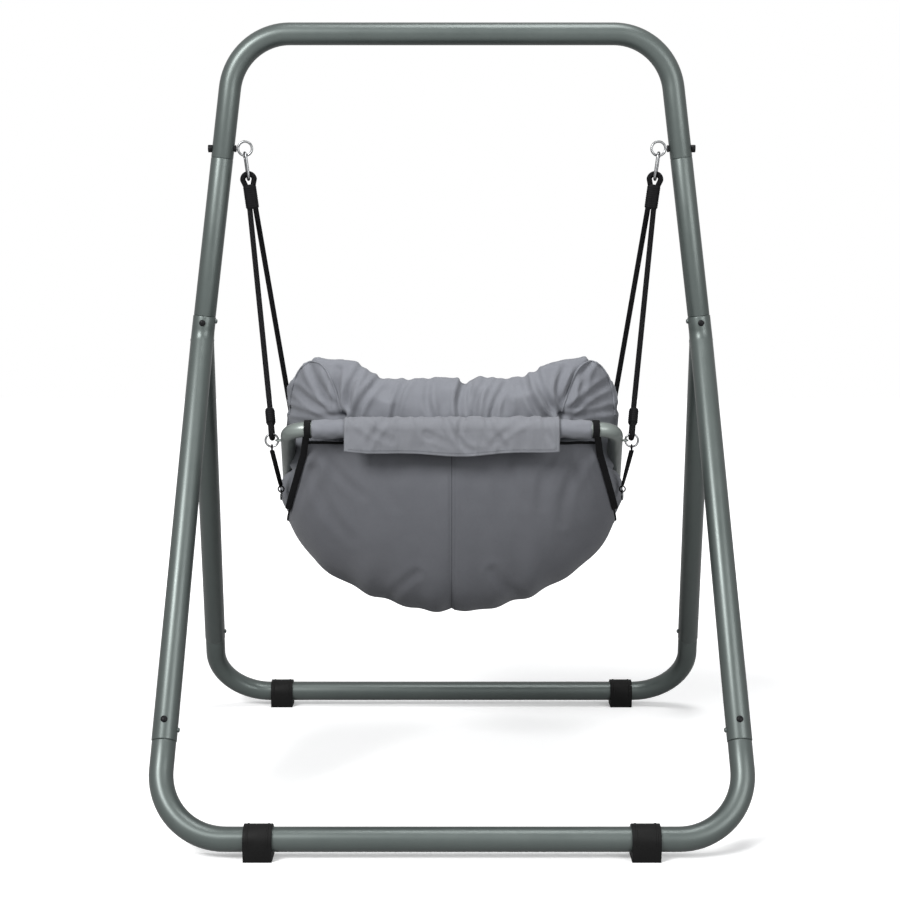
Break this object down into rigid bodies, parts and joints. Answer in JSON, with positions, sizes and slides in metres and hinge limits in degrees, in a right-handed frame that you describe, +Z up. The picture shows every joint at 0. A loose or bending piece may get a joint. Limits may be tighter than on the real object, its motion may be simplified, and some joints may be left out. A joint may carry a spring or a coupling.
{
  "type": "hanging baby cradle",
  "caption": "Padded fabric bucket seat that swings on black ropes from steel rings, hung under an open four-legged stand of bent round steel tube with rubber foot pads.",
  "frame": {"origin": "on the floor, under the middle of the stand", "axes": "+Z up, +Y the way the seat faces, +X to the right seen from behind the seat"},
  "size_m": [0.9944, 0.9312, 1.3159],
  "materials": {
    "stand_steel": "satin powder coat, grey green",
    "seat_steel": "satin powder coat, light grey green",
    "bright_steel": "bright zinc plate",
    "black_steel": "satin black",
    "rubber": "matt black",
    "rope": "braided, matt black",
    "webbing": "woven, matt black",
    "canvas": "woven, mid grey",
    "cushion_cloth": "woven, cool grey",
    "flap_cloth": "woven, light grey"
  },
  "bodies": {
    "stand": {"top_rail": "stand_steel", "rear_base_tube": "stand_steel", "front_base_tube": "stand_steel", "upper_pole_left": "stand_steel", "leg_fork_left": "stand_steel", "eye_bolt_left": "bright_steel", "eye_bolt_nut_left": "black_steel", "eye_bolt_cap_left": "black_steel", "fork_screw_left": "black_steel", "rear_leg_screw_left": "black_steel", "front_leg_screw_left": "black_steel", "foot_pad_rear_left": "rubber", "foot_pad_front_left": "rubber", "upper_pole_right": "stand_steel", "leg_fork_right": "stand_steel", "eye_bolt_right": "bright_steel", "eye_bolt_nut_right": "black_steel", "eye_bolt_cap_right": "black_steel", "fork_screw_right": "black_steel", "rear_leg_screw_right": "black_steel", "front_leg_screw_right": "black_steel", "foot_pad_rear_right": "rubber", "foot_pad_front_right": "rubber"},
    "seat": {"seat_frame_rear": "seat_steel", "seat_frame_front": "seat_steel", "sling": "canvas", "rear_bar_sleeve": "cushion_cloth", "rear_flap": "flap_cloth", "back_cushion": "cushion_cloth", "seat_cushion": "cushion_cloth", "carabiner_left": "bright_steel", "corner_ring_rear_left": "bright_steel", "corner_ring_front_left": "bright_steel", "side_ring_left": "bright_steel", "rope_left": "rope", "rope_sleeve_top_left": "rope", "rope_sleeve_rear_left": "rope", "rope_sleeve_front_left": "rope", "edge_strap_left": "webbing", "side_strap_left": "webbing", "side_cushion_left": "cushion_cloth", "carabiner_right": "bright_steel", "corner_ring_rear_right": "bright_steel", "corner_ring_front_right": "bright_steel", "side_ring_right": "bright_steel", "rope_right": "rope", "rope_sleeve_top_right": "rope", "rope_sleeve_rear_right": "rope", "rope_sleeve_front_right": "rope", "edge_strap_right": "webbing", "side_strap_right": "webbing", "side_cushion_right": "cushion_cloth"},
    "gate_left": {"carabiner_gate_left": "bright_steel"},
    "gate_right": {"carabiner_gate_right": "bright_steel"},
    "fork_button_left": {"fork_button_left": "stand_steel"},
    "rear_leg_button_left": {"rear_leg_button_left": "stand_steel"},
    "front_leg_button_left": {"front_leg_button_left": "stand_steel"},
    "fork_button_right": {"fork_button_right": "stand_steel"},
    "rear_leg_button_right": {"rear_leg_button_right": "stand_steel"},
    "front_leg_button_right": {"front_leg_button_right": "stand_steel"}
  },
  "joints": [
    {"name": "seat_swing", "type": "hinge", "parent": "stand", "child": "seat", "pos_m": [0, 0, 1.091], "axis": [1, 0, 0], "range_deg": [-25, 25]},
    {"name": "carabiner_gate_left_open", "type": "hinge", "parent": "seat", "child": "gate_left", "pos_m": [-0.3549, 0.00877, 1.0595], "axis": [0.9616, 0.2387, 0.1358], "range_deg": [0, 12], "stiffness_Nm_per_rad": 0.05},
    {"name": "carabiner_gate_right_open", "type": "hinge", "parent": "seat", "child": "gate_right", "pos_m": [0.3549, 0.00877, 1.0595], "axis": [0.9616, -0.2387, -0.1358], "range_deg": [0, 12], "stiffness_Nm_per_rad": 0.05},
    {"name": "fork_button_left_press", "type": "slide", "parent": "stand", "child": "fork_button_left", "axis": [-0.992, 0, 0.1262], "range_m": [0, 0.0034], "stiffness_N_per_m": 500},
    {"name": "rear_leg_button_left_press", "type": "slide", "parent": "stand", "child": "rear_leg_button_left", "axis": [-0.9998, 0.01, 0.0168], "range_m": [0, 0.0034], "stiffness_N_per_m": 500},
    {"name": "front_leg_button_left_press", "type": "slide", "parent": "stand", "child": "front_leg_button_left", "axis": [-0.9984, -0.0286, 0.0485], "range_m": [0, 0.0034], "stiffness_N_per_m": 500},
    {"name": "fork_button_right_press", "type": "slide", "parent": "stand", "child": "fork_button_right", "axis": [0.992, 0, 0.1262], "range_m": [0, 0.0034], "stiffness_N_per_m": 500},
    {"name": "rear_leg_button_right_press", "type": "slide", "parent": "stand", "child": "rear_leg_button_right", "axis": [0.9998, 0.01, 0.0168], "range_m": [0, 0.0034], "stiffness_N_per_m": 500},
    {"name": "front_leg_button_right_press", "type": "slide", "parent": "stand", "child": "front_leg_button_right", "axis": [0.9984, -0.0286, 0.0485], "range_m": [0, 0.0034], "stiffness_N_per_m": 500}
  ]
}
